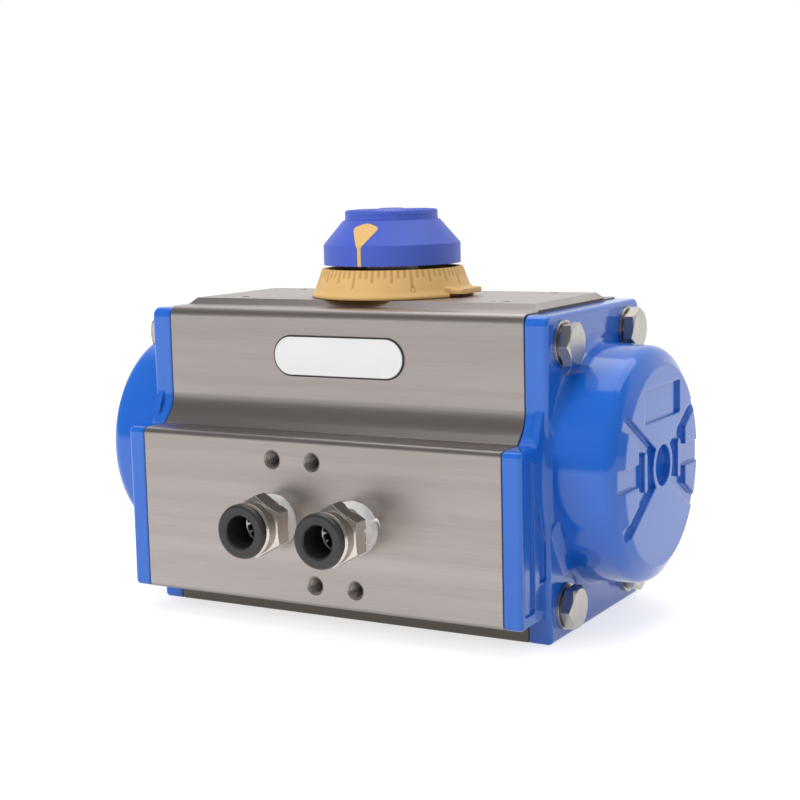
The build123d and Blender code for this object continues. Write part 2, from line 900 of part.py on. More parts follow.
def pointer_room():
    """The wedge's front view, cut through the rotor's wall."""
    angle = radians(pointer_angle)
    facing = Plane(
        origin=(0, 0, 0), x_dir=(-sin(angle), cos(angle), 0), z_dir=(cos(angle), sin(angle), 0)
    )
    stem = pointer_stem_width / 2
    fan = pointer_fan_width / 2
    top = shoulder - 1.0
    shape = filled(
        [
            (-stem, rotor_low - 0.5),
            (stem, rotor_low - 0.5),
            (stem, skirt_top - 0.6),
            (fan, top - 0.8),
            (0, top + 0.6),
            (-fan, top - 0.8),
            (-stem, skirt_top - 0.6),
        ],
        [0, 0, 0.8, 0.8, 4.0, 0.8, 0.8],
    )
    return extrude(facing * shape, 2 * rotor_radius) - rotor_form(-rotor_wall)


def indicator_pointer():
    return pointer_room() & rotor_form(pointer_proud)


def indicator_rotor():
    head = rotor_form(0) - rotor_hollow() - pointer_room()
    hub_low = rotor_low + 0.6
    head += rod(rotor_hub_radius, (0, 0, hub_low), (0, 0, roof_under))
    head -= extrude(
        Pos(0, 0, hub_low - 1) * keyed(top_journal_radius, top_key_half, running_play),
        roof_under - hub_low + 1,
    )
    head -= rod(plug_radius + screw_play, (0, 0, screw_seat), (0, 0, crown + 1))
    head -= rod(bolt_radius + hole_play, (0, 0, roof_under - 1), (0, 0, crown))
    return head


def indicator_screw():
    head_top = screw_seat + screw_head_height
    screw = rod(screw_head_radius, (0, 0, screw_seat), (0, 0, head_top))
    screw += rod(bolt_root_radius, (0, 0, pinion_top - screw_reach), (0, 0, screw_seat))
    slot = Box(screw_head_radius, screw_slot_width, 2 * screw_slot_depth)
    return screw - Pos(0, 0, head_top) * (slot + Rot(0, 0, 90) * slot)


def indicator_plug():
    """A domed cover over the screw."""
    low = crown - 0.55
    profile = FilletPolyline(
        (0, low),
        (plug_radius, low),
        (plug_radius, crown + 0.1),
        (plug_radius * 0.55, crown + plug_dome),
        (0, crown + plug_dome),
        radius=[0, 0, 0.3, 2.0, 0],
        close=True,
    )
    plane = at_height(0)
    return revolve(plane * make_face(profile), axis=Axis(plane.origin, plane.y_dir))


def indicator_base():
    """A fixed cone with an inner foot, a finger tab over a slot, and a small notch."""
    foot = base_foot_radius
    profile = [
        (thrust_radius + 1, top_pad),
        (foot - 0.3, top_pad),
        (foot, top_pad + 0.3),
        (foot, top_pad + base_foot_height),
        (base_rim_radius, base_top),
        (base_rim_radius - base_wall, base_top),
        (foot - base_wall, top_pad + base_foot_height),
        (foot - base_wall, top_pad + 1.2),
        (thrust_radius + 1, top_pad + 1.2),
    ]
    base = turned(profile, at_height(0))
    slot = Pos(foot, 0, top_pad + base_tab_lift / 2 - 0.5)
    base -= slot * Box(foot / 2, base_tab_width, base_tab_lift + 1)
    start = foot - base_wall - 0.4
    tab_plane = Pos((start + base_tab_reach) / 2, 0, top_pad + base_tab_lift)
    tab = Rectangle(base_tab_reach - start, base_tab_width)
    tab = fillet(tab.vertices().group_by(Axis.X)[-1], 1.4)
    tab = extrude(tab_plane * tab, base_tab_thickness)
    tab -= rod(foot - base_wall, (0, 0, top_pad), (0, 0, base_top))
    base += tab
    notch = Rot(0, 0, -108.8) * Pos(foot, 0, top_pad) * Box(1.2, 1.2, 2.4)
    return base - notch


# Badge


def badge_plate():
    wall = Plane.XZ.offset(half_width)
    middle = (flare_end + body_height - top_corner_radius) / 2
    centre = Pos(badge_centre_x, middle + badge_above_middle)
    return extrude(wall * centre * SlotOverall(badge_width, badge_height), badge_thickness)


# Push-in fittings, stations counted outwards from where each is seated at the port face


hex_low = fitting_reach - fitting_hex_start - fitting_hex_length
hex_high = hex_low + fitting_hex_length
flange_low = fitting_reach - ring_flange_thickness
barrel_end = flange_low - ring_travel - ring_gap


def fitting_body(x, seat):
    plane = out_of_port(x, port_face + seat)
    bore = sleeve_radius + running_play
    shank = port_radius - screw_play
    outside = [
        (0, -fitting_thread_length),
        (shank - 0.6, -fitting_thread_length),
        (shank, -fitting_thread_length + 0.6),
        (shank, hex_low + 1),
        (fitting_barrel_radius - 0.5, hex_low + 1),
        (fitting_barrel_radius - 0.5, hex_high + 0.5),
        (fitting_barrel_radius, hex_high + 0.8),
        (fitting_barrel_radius, barrel_end - 0.5),
        (fitting_barrel_radius - 0.5, barrel_end),
        (0, barrel_end),
    ]
    hexagon = (x, -port_face - seat - hex_low, port_height)
    fitting = turned(outside, plane)
    fitting += hex_head(hexagon, (0, -1, 0), (1, 0, 0), fitting_hex, fitting_hex_length, 0)
    inside = [
        (0, barrel_end + 1),
        (bore, barrel_end + 1),
        (bore, tube_ledge),
        (tube_radius - tube_ledge, tube_ledge),
        (tube_radius - tube_ledge, -fitting_thread_length - 1),
        (0, -fitting_thread_length - 1),
    ]
    return fitting - turned(inside, plane)


def release_ring(x, seat):
    """A flange to press and a sleeve that runs in the barrel."""
    low = flange_low - ring_sleeve_length
    profile = [
        (tube_radius, low),
        (sleeve_radius, low),
        (sleeve_radius, flange_low),
        (ring_flange_radius - 0.2, flange_low),
        (ring_flange_radius, flange_low + 0.4),
        (ring_flange_radius - 0.3, fitting_reach - 0.25),
        (ring_flange_radius - 0.7, fitting_reach),
        (tube_radius + 0.4, fitting_reach),
        (tube_radius, fitting_reach - 0.4),
    ]
    return turned(profile, out_of_port(x, port_face + seat))


def grip_ring(x, seat):
    """A thin toothed ring that bites the tube."""
    low = port_face + seat + flange_low - ring_sleeve_length - ring_travel - ring_gap - grip_thickness
    start = (x, -low, port_height)
    end = (x, -low - grip_thickness, port_height)
    plate = rod(sleeve_radius, start, end) - rod(tube_radius + 0.1, start, end)
    plane = out_of_port(x, low)
    for count in range(grip_teeth):
        notch = Box(grip_notch_depth, 4 * grip_thickness, grip_notch_width)
        gap = Rot(0, 360 * count / grip_teeth, 0) * Pos(tube_radius, 0, 0) * notch
        plate -= Location(plane) * gap
    return plate


def tube_seal(x, seat):
    section_radius = (sleeve_radius - tube_radius) / 2 - 0.03
    place = port_face + seat + tube_ledge + section_radius + 0.3
    return ring(sleeve_radius - section_radius, section_radius, out_of_port(x, place))


def thread_tape(x, seat):
    """Sealing tape on the thread that shows between hexagon and housing."""
    inner = port_radius - screw_play
    length = seat + hex_low
    profile = FilletPolyline(
        (inner, 0.0),
        (tape_radius, 0.0),
        (tape_radius + 0.15, length / 2),
        (tape_radius, length),
        (inner, length),
        radius=[0, 0.2, 1.0, 0.2, 0],
        close=True,
    )
    plane = out_of_port(x, port_face)
    return revolve(plane * make_face(profile), axis=Axis(plane.origin, plane.y_dir))


def model():
    """Every piece in its place, by the name of its node."""
    nodes = {"body": body()}
    right_side = {
        "end_cap": end_cap(),
        "end_cap_seal": end_cap_seal(),
        "cap_washers": cap_washers(),
    }
    for name, piece in right_side.items():
        nodes[name + "_right"] = piece
        nodes[name + "_left"] = mirror(piece, about=Plane.YZ)
    nodes["cap_bolts_right"] = cap_bolts(bolt_turns_right)
    nodes["cap_bolts_left"] = mirror(cap_bolts(bolt_turns_left), about=Plane.YZ)
    moving = {
        "piston": piston(),
        "piston_ring": piston_ring(),
        "piston_guide_ring": piston_guide_ring(),
        "rack_guide_shoe": guide_shoe(),
    }
    for name, piece in moving.items():
        nodes[name + "_right"] = piece
        nodes[name + "_left"] = Rot(0, 0, 180) * piece
    nodes["pinion"] = pinion()
    nodes["stop_cam"] = stop_cam()
    nodes["pinion_ring_lower"] = pinion_ring(lower_journal_radius, lower_ring_height)
    nodes["pinion_ring_upper"] = pinion_ring(upper_journal_radius, upper_ring_height)
    nodes["bearing_lower"] = bearing(
        lower_journal_radius, lower_bearing_low, bore_height - bore_radius
    )
    nodes["bearing_upper"] = bearing(upper_journal_radius, ceiling, upper_bearing_high)
    washer_inner = upper_journal_radius + running_play
    nodes["thrust_washer_inner"] = plain_washer(washer_inner, thrust_radius, thrust_low, thrust_thickness)
    nodes["thrust_washer_outer"] = plain_washer(
        washer_inner, thrust_radius, top_pad, outer_thrust_thickness
    )
    nodes["pinion_washer"] = plain_washer(
        washer_inner, thrust_radius - 0.5, snap_low - outer_washer_thickness, outer_washer_thickness
    )
    nodes["retaining_ring"] = retaining_ring()
    nodes["stop_screws"] = stop_screws()
    nodes["stop_nuts"] = stop_nuts()
    nodes["stop_washers"] = stop_washers()
    nodes["indicator_base"] = indicator_base()
    nodes["indicator_rotor"] = indicator_rotor()
    nodes["indicator_pointer"] = indicator_pointer()
    nodes["indicator_screw"] = indicator_screw()
    nodes["indicator_plug"] = indicator_plug()
    nodes["badge_plate"] = badge_plate()
    fittings = (
        ("left", -port_spacing / 2, fitting_seat_left),
        ("right", port_spacing / 2, fitting_seat_right),
    )
    for side, x, seat in fittings:
        nodes["fitting_body_" + side] = fitting_body(x, seat)
        nodes["release_ring_" + side] = release_ring(x, seat)
        nodes["grip_ring_" + side] = grip_ring(x, seat)
        nodes["tube_seal_" + side] = tube_seal(x, seat)
        nodes["thread_tape_" + side] = thread_tape(x, seat)
    return nodes


os.makedirs("parts", exist_ok=True)
for node, solid in model().items():
    export_step(solid, os.path.join("parts", node + ".step"))
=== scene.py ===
import json
import math

import bmesh
import bpy
import numpy as np
from mathutils import Matrix, Vector


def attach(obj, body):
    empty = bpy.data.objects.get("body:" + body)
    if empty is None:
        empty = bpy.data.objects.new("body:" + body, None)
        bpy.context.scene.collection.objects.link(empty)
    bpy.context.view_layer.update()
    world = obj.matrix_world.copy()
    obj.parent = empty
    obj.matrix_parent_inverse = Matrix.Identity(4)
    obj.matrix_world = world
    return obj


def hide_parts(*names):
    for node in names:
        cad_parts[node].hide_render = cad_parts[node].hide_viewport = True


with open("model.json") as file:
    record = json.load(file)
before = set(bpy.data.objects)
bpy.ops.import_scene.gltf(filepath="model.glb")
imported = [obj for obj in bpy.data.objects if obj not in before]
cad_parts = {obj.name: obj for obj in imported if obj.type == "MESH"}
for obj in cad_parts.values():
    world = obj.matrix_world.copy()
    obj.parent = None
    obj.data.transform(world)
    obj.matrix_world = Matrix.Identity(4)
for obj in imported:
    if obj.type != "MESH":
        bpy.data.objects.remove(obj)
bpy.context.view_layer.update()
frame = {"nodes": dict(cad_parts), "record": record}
nodes = frame["nodes"]
print("frame loaded:", len(nodes), "pieces")


# Small tools

def toLinear(hexColour):
    # sRGB hex to linear light, the usual piecewise curve
    channels = [int(hexColour[i:i + 2], 16) / 255 for i in (1, 3, 5)]
    linear = [c / 12.92 if c <= 0.04045 else ((c + 0.055) / 1.055) ** 2.4 for c in channels]
    return (*linear, 1.0)


def addNode(tree, kind, settings=None, links=None):
    # settings name an input socket or else a property; links name the socket each output feeds
    node = tree.nodes.new(kind)
    for key, value in (settings or {}).items():
        if isinstance(key, int) or key in node.inputs:
            node.inputs[key].default_value = value
        else:
            setattr(node, key, value)
    for key, source in (links or {}).items():
        tree.links.new(source, node.inputs[key])
    return node


def startMaterial(name):
    material = bpy.data.materials.new(name)
    material.use_nodes = True
    tree = material.node_tree
    tree.nodes.clear()
    shader = addNode(tree, "ShaderNodeBsdfPrincipled")
    addNode(tree, "ShaderNodeOutputMaterial", links={"Surface": shader.outputs["BSDF"]})
    place = addNode(tree, "ShaderNodeTexCoord").outputs["Object"]
    return material, tree, shader, place


# Materials

housingLook = {
    "colour": "#b6aeab",
    "darkColour": "#aaa19d",
    "footShadeColour": "#625b55",
    "jointShadeColour": "#5a5652",
    "roughness": 0.40,
    "gritSize": 0.00030,
    "lineSize": 0.00042,
    "cloudSize": 0.006,
    "edge": 0.00030,
    "footTop": 0.0082,
    "footFull": 0.0062,
    "halfLength": 0.05335,
    "jointWidth": 0.00012,
}


def makeHousingFinish(look):
    # Extruded aluminium, blasted and clear anodised: a soft satin metal with a fine grit and faint
    # lines along the extrusion, with painted shade darkening it under the port block and a painted shade line where a
    # cap meets it
    material, tree, shader, place = startMaterial("blastedAnodisedAluminium")
    grit = addNode(tree, "ShaderNodeTexNoise", {"Scale": 1 / look["gritSize"], "Detail": 3.0, "Roughness": 0.6},
                   {"Vector": place})
    stretch = addNode(tree, "ShaderNodeMapping", {"Scale": (0.025, 1.0, 1.0)}, {"Vector": place})
    lines = addNode(tree, "ShaderNodeTexNoise", {"Scale": 1 / look["lineSize"], "Detail": 4.0, "Roughness": 0.6},
                    {"Vector": stretch.outputs["Vector"]})
    wide = addNode(tree, "ShaderNodeTexNoise", {"Scale": 1 / look["cloudSize"], "Detail": 2.0},
                   {"Vector": stretch.outputs["Vector"]})
    blend = addNode(tree, "ShaderNodeMath", {"operation": "MULTIPLY_ADD", 1: 0.6},
                    {0: lines.outputs["Fac"], 2: wide.outputs["Fac"]})
    spread = addNode(tree, "ShaderNodeMapRange", {"From Min": 0.6, "From Max": 1.0}, {"Value": blend.outputs[0]})
    tone = addNode(tree, "ShaderNodeMix",
                   {"data_type": "RGBA", 6: toLinear(look["darkColour"]), 7: toLinear(look["colour"])},
                   {0: spread.outputs["Result"]})
    axes = addNode(tree, "ShaderNodeSeparateXYZ", links={"Vector": place})
    # painted shade: the colour darkens towards the bottom, below the port block, standing for the shade there
    foot = addNode(tree, "ShaderNodeMapRange",
                   {"interpolation_type": "SMOOTHSTEP", "From Min": look["footTop"], "From Max": look["footFull"]},
                   {"Value": axes.outputs["Z"]})
    footShaded = addNode(tree, "ShaderNodeMix", {"data_type": "RGBA", 7: toLinear(look["footShadeColour"])},
                   {0: foot.outputs["Result"], 6: tone.outputs[2]})
    # painted shade: a thin dark line along the housing's ends where a cap meets it, standing for the shadow in the
    # gap
    side = addNode(tree, "ShaderNodeMath", {"operation": "ABSOLUTE"}, {0: axes.outputs["X"]})
    joint = addNode(tree, "ShaderNodeMapRange",
                    {"From Min": look["halfLength"] - look["jointWidth"] - 0.0001,
                     "From Max": look["halfLength"] - look["jointWidth"]},
                    {"Value": side.outputs[0]})
    jointShaded = addNode(tree, "ShaderNodeMix", {"data_type": "RGBA", 7: toLinear(look["jointShadeColour"])},
                    {0: joint.outputs["Result"], 6: footShaded.outputs[2]})
    tree.links.new(jointShaded.outputs[2], shader.inputs["Base Color"])
    rough = addNode(tree, "ShaderNodeMapRange",
                    {"To Min": look["roughness"] - 0.05, "To Max": look["roughness"] + 0.05},
                    {"Value": grit.outputs["Fac"]})
    tree.links.new(rough.outputs["Result"], shader.inputs["Roughness"])
    soft = addNode(tree, "ShaderNodeBevel", {"samples": 4, "Radius": look["edge"]})
    bump = addNode(tree, "ShaderNodeBump", {"Strength": 0.25, "Distance": 0.00002},
                   {"Height": grit.outputs["Fac"], "Normal": soft.outputs["Normal"]})
    fine = addNode(tree, "ShaderNodeBump", {"Strength": 0.3, "Distance": 0.00002},
                   {"Height": lines.outputs["Fac"], "Normal": bump.outputs["Normal"]})
    tree.links.new(fine.outputs["Normal"], shader.inputs["Normal"])
    shader.inputs["Metallic"].default_value = 1.0
    return material


capLook = {
    "colour": "#1c68ce",
    "darkColour": "#1862c6",
    "roughness": 0.13,
    "peelSize": 0.0022,
    "edge": 0.0007,
}


def makeCapFinish(look):
    # Die-cast aluminium under a thick glossy powder coat: deep blue, soft edges, a faint
    # orange-peel ripple
    material, tree, shader, place = startMaterial("blueGlossPowderCoat")
    peel = addNode(tree, "ShaderNodeTexNoise", {"Scale": 1 / look["peelSize"], "Detail": 1.5, "Roughness": 0.4},
                   {"Vector": place})
    cloud = addNode(tree, "ShaderNodeTexNoise", {"Scale": 60.0, "Detail": 2.0}, {"Vector": place})
    tone = addNode(tree, "ShaderNodeMix",
                   {"data_type": "RGBA", 6: toLinear(look["darkColour"]), 7: toLinear(look["colour"])},
                   {0: cloud.outputs["Fac"]})
    tree.links.new(tone.outputs[2], shader.inputs["Base Color"])
    soft = addNode(tree, "ShaderNodeBevel", {"samples": 8, "Radius": look["edge"]})
    bump = addNode(tree, "ShaderNodeBump", {"Strength": 0.15, "Distance": 0.00003},
                   {"Height": peel.outputs["Fac"], "Normal": soft.outputs["Normal"]})
    tree.links.new(bump.outputs["Normal"], shader.inputs["Normal"])
    rough = addNode(tree, "ShaderNodeMapRange",
                    {"To Min": look["roughness"] - 0.03, "To Max": look["roughness"] + 0.04},
                    {"Value": cloud.outputs["Fac"]})
    tree.links.new(rough.outputs["Result"], shader.inputs["Roughness"])
    shader.inputs["IOR"].default_value = 1.5
    shader.inputs["Coat Weight"].default_value = 0.3
    shader.inputs["Coat Roughness"].default_value = 0.05
    return material


def makeMetal(name, colour, dark, roughness, grain, stretchBy=(1.0, 1.0, 1.0), edge=0.00015):
    # A plated or machined metal: two close tones, a fine directional grain in gloss and height
    material, tree, shader, place = startMaterial(name)
    stretch = addNode(tree, "ShaderNodeMapping", {"Scale": stretchBy}, {"Vector": place})
    noise = addNode(tree, "ShaderNodeTexNoise", {"Scale": 1 / grain, "Detail": 4.0, "Roughness": 0.6},
                    {"Vector": stretch.outputs["Vector"]})
    blotch = addNode(tree, "ShaderNodeTexNoise", {"Scale": 350.0, "Detail": 2.0}, {"Vector": place})
    tone = addNode(tree, "ShaderNodeMix", {"data_type": "RGBA", 6: toLinear(dark), 7: toLinear(colour)},
                   {0: blotch.outputs["Fac"]})
    tree.links.new(tone.outputs[2], shader.inputs["Base Color"])
    rough = addNode(tree, "ShaderNodeMapRange", {"To Min": roughness - 0.06, "To Max": roughness + 0.08},
                    {"Value": noise.outputs["Fac"]})
    tree.links.new(rough.outputs["Result"], shader.inputs["Roughness"])
    soft = addNode(tree, "ShaderNodeBevel", {"samples": 4, "Radius": edge})
    bump = addNode(tree, "ShaderNodeBump", {"Strength": 0.2, "Distance": 0.00002},
                   {"Height": noise.outputs["Fac"], "Normal": soft.outputs["Normal"]})
    tree.links.new(bump.outputs["Normal"], shader.inputs["Normal"])
    shader.inputs["Metallic"].default_value = 1.0
    return material


def makePlastic(name, colour, dark, roughness, grain, edge=0.0002, bumpDepth=0.00002, groove=None):
    # Moulded plastic: even colour with a trace of cloud, a fine mould texture in gloss and height;
    # groove is the colour of the shade and dust that sit in engraved marks
    material, tree, shader, place = startMaterial(name)
    noise = addNode(tree, "ShaderNodeTexNoise", {"Scale": 1 / grain, "Detail": 3.0, "Roughness": 0.6},
                    {"Vector": place})
    cloud = addNode(tree, "ShaderNodeTexNoise", {"Scale": 90.0, "Detail": 2.0}, {"Vector": place})
    tone = addNode(tree, "ShaderNodeMix", {"data_type": "RGBA", 6: toLinear(dark), 7: toLinear(colour)},
                   {0: cloud.outputs["Fac"]}).outputs[2]
    if groove:
        marks = addNode(tree, "ShaderNodeAttribute", {"attribute_name": "engraved"})
        tone = addNode(tree, "ShaderNodeMix", {"data_type": "RGBA", 7: toLinear(groove)},
                       {0: marks.outputs["Fac"], 6: tone}).outputs[2]
    tree.links.new(tone, shader.inputs["Base Color"])
    rough = addNode(tree, "ShaderNodeMapRange", {"To Min": roughness - 0.05, "To Max": roughness + 0.06},
                    {"Value": noise.outputs["Fac"]})
    tree.links.new(rough.outputs["Result"], shader.inputs["Roughness"])
    soft = addNode(tree, "ShaderNodeBevel", {"samples": 4, "Radius": edge})
    bump = addNode(tree, "ShaderNodeBump", {"Strength": 0.25, "Distance": bumpDepth},
                   {"Height": noise.outputs["Fac"], "Normal": soft.outputs["Normal"]})
    tree.links.new(bump.outputs["Normal"], shader.inputs["Normal"])
    shader.inputs["IOR"].default_value = 1.5
    return material


finishes = {
    "housing_anodised": makeHousingFinish(housingLook),
    "cap_blue": makeCapFinish(capLook),
    "zinc_steel": makeMetal("brightZincSteel", "#c4bfb9", "#b0aba4", 0.30, 0.0004),
    "nickel_brass": makeMetal("nickelPlatedBrass", "#d8d2ca", "#c9c3ba", 0.22, 0.0003),
    "spring_steel": makeMetal("stainlessSpringSteel", "#d6d4d0", "#c6c4c0", 0.25, 0.0003),
    "pinion_nickel": makeMetal("nickelPlatedSteel", "#bcb8b1", "#aaa69f", 0.3, 0.0003),
    "piston_aluminium": makeMetal("machinedCastAluminium", "#b9b7b4", "#a5a3a0", 0.38, 0.0004),
    "seal_rubber": makePlastic("nitrileRubber", "#262626", "#1d1d1d", 0.6, 0.0004),
    "bearing_plastic": makePlastic("naturalAcetal", "#e2ddcf", "#d6d0c0", 0.45, 0.0004),
    "yellow_plastic": makePlastic("yellowMouldedNylon", "#e3ba77", "#dcb16c", 0.45, 0.0005, groove="#c4985a"),
    "blue_plastic": makePlastic("blueMouldedNylon", "#4560c8", "#3f59bf", 0.45, 0.0005),
    "grey_plastic": makePlastic("darkGreyAcetal", "#323232", "#2c2c2c", 0.4, 0.0005),
    "sealing_tape": makePlastic("whiteSealingTape", "#f8f7f4", "#efedea", 0.5, 0.0006, bumpDepth=0.00006),
    "badge_enamel": makePlastic("whiteEnamelledPlate", "#ebebec", "#e5e5e6", 0.3, 0.0006),
}
print("finishes made:", len(finishes))

# Every CAD piece takes its slot's finish
slotOf = {part["node"]: part["material_slot"] for part in frame["record"]["subparts"]}
for name, piece in nodes.items():
    piece.data.materials.clear()
    piece.data.materials.append(finishes[slotOf[name]])


# Surfaces worked out on grids

def gridFaces(rows, columns, closeRows, closeColumns):
    # one quad between each pair of neighbouring rows and columns, wrapping round where closed
    row = np.arange(rows if closeRows else rows - 1)
    column = np.arange(columns if closeColumns else columns - 1)
    row, column = np.meshgrid(row, column, indexing="ij")
    nextRow, nextColumn = (row + 1) % rows, (column + 1) % columns
    corners = [row * columns + column, row * columns + nextColumn,
               nextRow * columns + nextColumn, nextRow * columns + column]
    return np.stack(corners, -1).reshape(-1, 4)


def makePiece(name, grids, body, slot, finish=None, engraved=None, closeRows=True, sharpAngle=40):
    # grids are arrays of rows x columns x 3 in millimetres, closed along their columns; points
    # that meet, as at a pole, become one, and the faces are then turned outwards
    points, faces, start = [], [], 0
    for grid in grids:
        points.append(grid.reshape(-1, 3) * 0.001)
        faces.append(gridFaces(grid.shape[0], grid.shape[1], closeRows, True) + start)
        start += grid.shape[0] * grid.shape[1]
    mesh = bpy.data.meshes.new(name)
    mesh.from_pydata(np.concatenate(points).tolist(), [], np.concatenate(faces).tolist())
    if engraved is not None:
        marks = mesh.attributes.new("engraved", "FLOAT", "POINT")
        marks.data.foreach_set("value", engraved.astype(np.float32).ravel())
    work = bmesh.new()
    work.from_mesh(mesh)
    bmesh.ops.remove_doubles(work, verts=work.verts, dist=1e-7)
    bmesh.ops.recalc_face_normals(work, faces=work.faces)
    work.to_mesh(mesh)
    work.free()
    mesh.polygons.foreach_set("use_smooth", np.ones(len(mesh.polygons), bool))
    mesh.set_sharp_from_angle(angle=math.radians(sharpAngle))
    piece = bpy.data.objects.new(name, mesh)
    bpy.context.scene.collection.objects.link(piece)
    mesh.materials.append(finish or finishes[slot])
    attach(piece, body)
    return piece


def around(origin, axis, across, theta, along, radius):
    # a point at angle theta round an axis, so far along it and out from it
    axis, across = np.array(axis, float), np.array(across, float)
    third = np.cross(axis, across)
    turn = np.cos(theta)[..., None] * across + np.sin(theta)[..., None] * third
    return np.array(origin, float) + along[..., None] * axis + radius[..., None] * turn


def smoothStep(value, low, high):
    t = np.clip((value - low) / (high - low), 0, 1)
    return t * t * (3 - 2 * t)


# Indicator dial: a cone with an engraved scale, a spread foot with a notch, and a finger tab

dialLook = {
    "low": 83.7,
    "high": 91.4,
    "zeroAngle": -91.0,
    "stepAngle": 5.0,
    "grooveDepth": 0.17,
    "markLengths": (2.1, 3.3, 4.6),
    "cellOffsets": (-0.40, -0.22, 0.0, 0.22, 0.40, 1.7, 2.5, 3.3),
    "notchAngle": -108.5,
    "slotDepth": 2.4,
    "slotTop": 84.5,
    "slotHalfWidth": 6.2,
}


def makeDial(look):
    # Radius and height of one closed section, turned round Z. Where a mark stands, the cone's
    # radius drops by the groove's depth; the foot is cut back at the notch and under the tab
    outside = [(21.5, 83.7), (21.9, 83.82), (22.1, 84.1), (22.12, 84.45), (21.98, 84.75), (21.72, 85.1),
               (21.46, 85.5), (21.22, 85.95)]
    cone = [(21.22 - 1.92 * t, 85.95 + 5.15 * t) for t in np.linspace(0.06, 1, 22)]
    inside = [(19.24, 91.28), (19.1, 91.4), (17.7, 91.4), (17.45, 91.3), (17.4, 91.0), (19.6, 85.5),
              (19.7, 84.9), (15.2, 84.9), (15.0, 84.75), (15.0, 83.8), (15.1, 83.7)]
    section = np.array(outside + cone + inside)
    cells = np.arange(0, 360, look["stepAngle"])
    angle = (look["zeroAngle"] + cells[:, None] + np.array(look["cellOffsets"])).ravel()
    fromMark = np.tile(look["cellOffsets"], len(cells))
    which = np.repeat(np.arange(len(cells)), len(look["cellOffsets"]))
    short, middle, longest = look["markLengths"]
    length = np.where(which % 9 == 0, longest, np.where(which % 3 == 0, middle, short))
    radius, height = (np.repeat(section[:, i, None], len(angle), 1) for i in (0, 1))
    onCone = (np.arange(len(section)) >= len(outside)) & (np.arange(len(section)) < len(outside) + len(cone) + 2)
    inMark = (np.abs(fromMark) < 0.5)[None, :] * onCone[:, None]
    depth = inMark * smoothStep(height, look["high"] - length - 0.15, look["high"] - length + 0.15)
    fromNotch = np.abs(angle - look["notchAngle"])
    notch = (fromNotch < 1.0)[None, :] & (radius > 21.3) & (height < 85.9)
    theta = np.radians(angle)
    underTab = (np.abs(20.5 * np.sin(theta)) < look["slotHalfWidth"]) & (np.cos(theta) > 0)
    slot = underTab[None, :] & (radius > 20) & (height < look["slotTop"])
    radius = radius - depth * look["grooveDepth"] - notch * 0.9 - slot * look["slotDepth"]
    ring = np.stack([radius * np.cos(theta), radius * np.sin(theta), height], -1)
    return ring, np.maximum(depth, notch * 1.0)


def makeNumeral(look):
    # A nought below the scale: a thin rod of round section led round an ellipse on the cone
    path = np.linspace(0, 2 * math.pi, 40, endpoint=False)[None, :]
    turn = np.linspace(0, 2 * math.pi, 8, endpoint=False)[:, None]
    wide = 0.55 + 0.09 * np.cos(turn)
    tall = 0.85 + 0.09 * np.cos(turn)
    height = 86.55 + tall * np.sin(path)
    cone = 21.22 - 1.92 * (height - 85.95) / 5.15 + 0.09 * np.sin(turn)
    angle = math.radians(look["zeroAngle"] + 45) + wide * np.cos(path) / 20.5
    return np.stack([cone * np.cos(angle), cone * np.sin(angle), height], -1)


def makeTab():
    # A rounded slab led along X out of the cone, wider at its root, closing over its tip
    reach = np.array([19.0, 19.0, 20.2, 20.7, 21.2, 22.0, 23.2, 23.7, 24.0, 24.15, 24.2, 24.2])
    scale = np.array([0.0, 1.0, 1.0, 1.0, 1.0, 1.0, 1.0, 0.985, 0.95, 0.88, 0.75, 0.0])
    half = 6.0 + 1.6 * np.exp(-np.maximum(reach - 20.2, 0) / 0.6)
    thick = 0.78 + 0.35 * np.exp(-np.maximum(reach - 20.2, 0) / 0.8)
    turn = np.linspace(0, 2 * math.pi, 64, endpoint=False)[None, :]
    power = 2 / 7
    y = np.sign(np.cos(turn)) * np.abs(np.cos(turn)) ** power
    z = np.sign(np.sin(turn)) * np.abs(np.sin(turn)) ** power
    corner = scale[:, None] * np.ones_like(turn)
    middle = 85.28 + (thick - 0.78)[:, None] * 0.9
    points = [reach[:, None] * np.ones_like(turn), half[:, None] * y * np.minimum(1, 0.5 + corner / 2) * (corner > 0),
              middle + thick[:, None] * z * corner]
    return np.stack(points, -1)


dialRing, dialMarks = makeDial(dialLook)
numeral = makeNumeral(dialLook)
tab = makeTab()
dial = makePiece("indicator_dial", [dialRing, numeral, tab], "housing", "yellow_plastic", sharpAngle=50,
                 engraved=np.concatenate([dialMarks.ravel(), np.ones(numeral[..., 0].size) * 0.8,
                                          np.zeros(tab[..., 0].size)]))
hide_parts("indicator_base")
print("dial made")


# Grip relief on the rotor's crown: a low dome with ribs round its rim and a ring of short pads

crownLook = {
    "ribs": 54,
    "ribHeight": 0.34,
    "pads": 22,
    "padHeight": 0.22,
    "crown": 106.6,
    "dome": 0.42,
}


